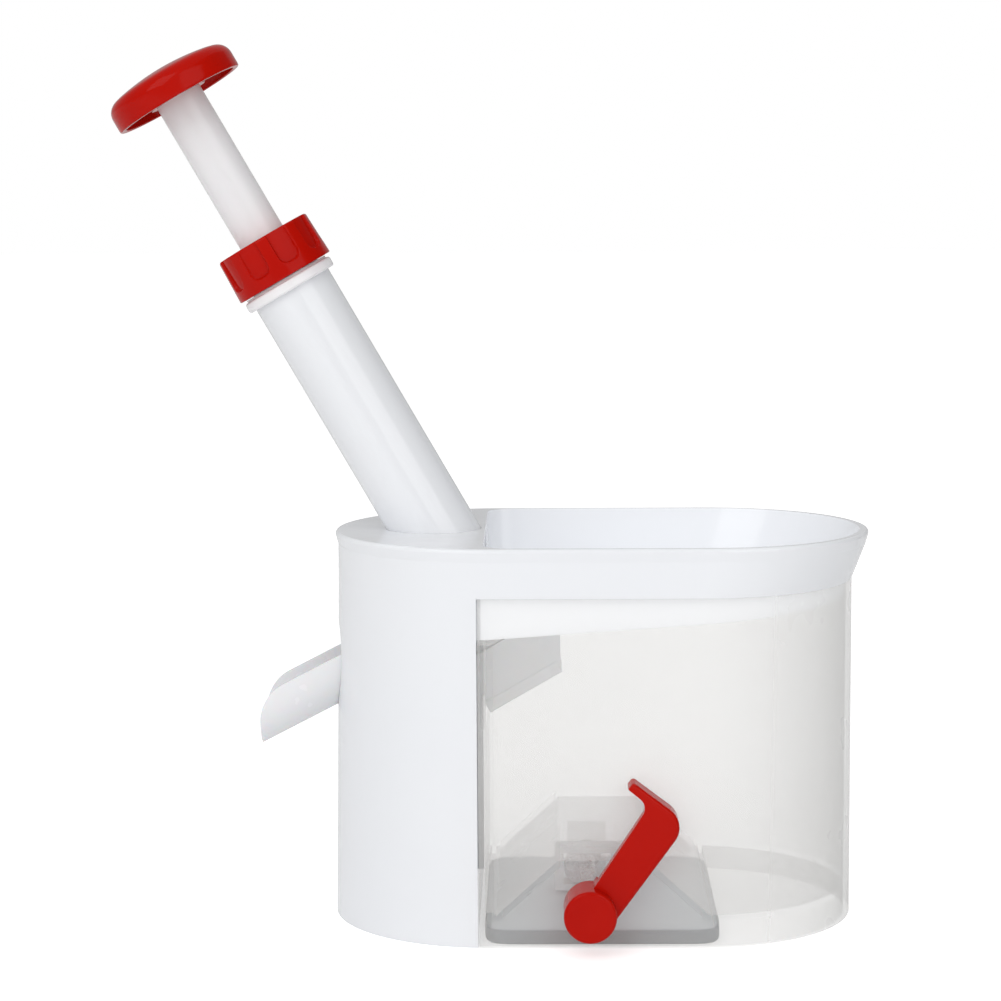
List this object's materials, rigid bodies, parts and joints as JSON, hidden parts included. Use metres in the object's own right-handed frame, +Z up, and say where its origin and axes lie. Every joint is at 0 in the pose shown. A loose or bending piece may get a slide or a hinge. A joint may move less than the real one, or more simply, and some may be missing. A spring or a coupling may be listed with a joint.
{
  "type": "cherry pitter with lever",
  "caption": "Free-standing cherry pitter: tilted spring plunger, open hopper, clear stone bin, chute and a lever-worked suction foot.",
  "frame": {"origin": "where the axis of the suction foot meets the table", "axes": "+Z up, +X from the chute towards the pouring end of the hopper, -Y towards the lever"},
  "size_m": [0.2563, 0.1233, 0.2982],
  "materials": {
    "white_plastic": "gloss",
    "natural_plastic": "satin, slightly translucent",
    "red_plastic": "gloss",
    "clear_plastic": "frosted, translucent",
    "grey_rubber": "satin",
    "seat_rubber": "matt",
    "steel": "bright"
  },
  "bodies": {
    "container": {"container": "clear_plastic"},
    "foot": {"foot_stem": "white_plastic", "stem_plate": "steel", "suction_cup": "grey_rubber"},
    "lever_arm": {"lever": "red_plastic", "cam_shaft": "steel", "shaft_clip": "steel"},
    "housing": {"housing": "white_plastic", "guide_tube": "white_plastic", "guide_bush": "natural_plastic", "stripper": "natural_plastic", "spring_seat": "steel", "return_spring": "steel", "cherry_seat": "seat_rubber", "stone_duct": "white_plastic", "chute": "white_plastic"},
    "nut": {"union_nut": "red_plastic", "nut_seal": "seat_rubber"},
    "plunger": {"plunger_tube": "natural_plastic", "knob": "red_plastic", "piston": "natural_plastic", "pin_holder": "natural_plastic", "pitting_pin": "steel"}
  },
  "joints": [
    {"name": "housing_lift", "type": "slide", "parent": "container", "child": "housing", "axis": [0, 0, 1], "range_m": [0, 0.12]},
    {"name": "plunger_push", "type": "slide", "parent": "housing", "child": "plunger", "axis": [0.5, 0, -0.866], "range_m": [0, 0.051], "stiffness_N_per_m": 400, "springref_m": -0.02, "deforming": ["return_spring"]},
    {"name": "nut_turn", "type": "hinge", "parent": "housing", "child": "nut", "pos_m": [-0.107, 0, 0.22], "axis": [-0.5, 0, 0.866], "range_deg": [0, 120]},
    {"name": "lever_turn", "type": "hinge", "parent": "container", "child": "lever_arm", "pos_m": [-0.0044, 0, 0.0142], "axis": [0, 1, 0], "range_deg": [-36, 54]},
    {"name": "foot_lift", "type": "slide", "parent": "container", "child": "foot", "axis": [0, 0, 1], "range_m": [-0.00157, 0.00236], "deforming": ["suction_cup"]}
  ],
  "couplings": [
    {"joint": "lever_turn", "follows": "foot_lift", "rad_per_m": 400}
  ]
}
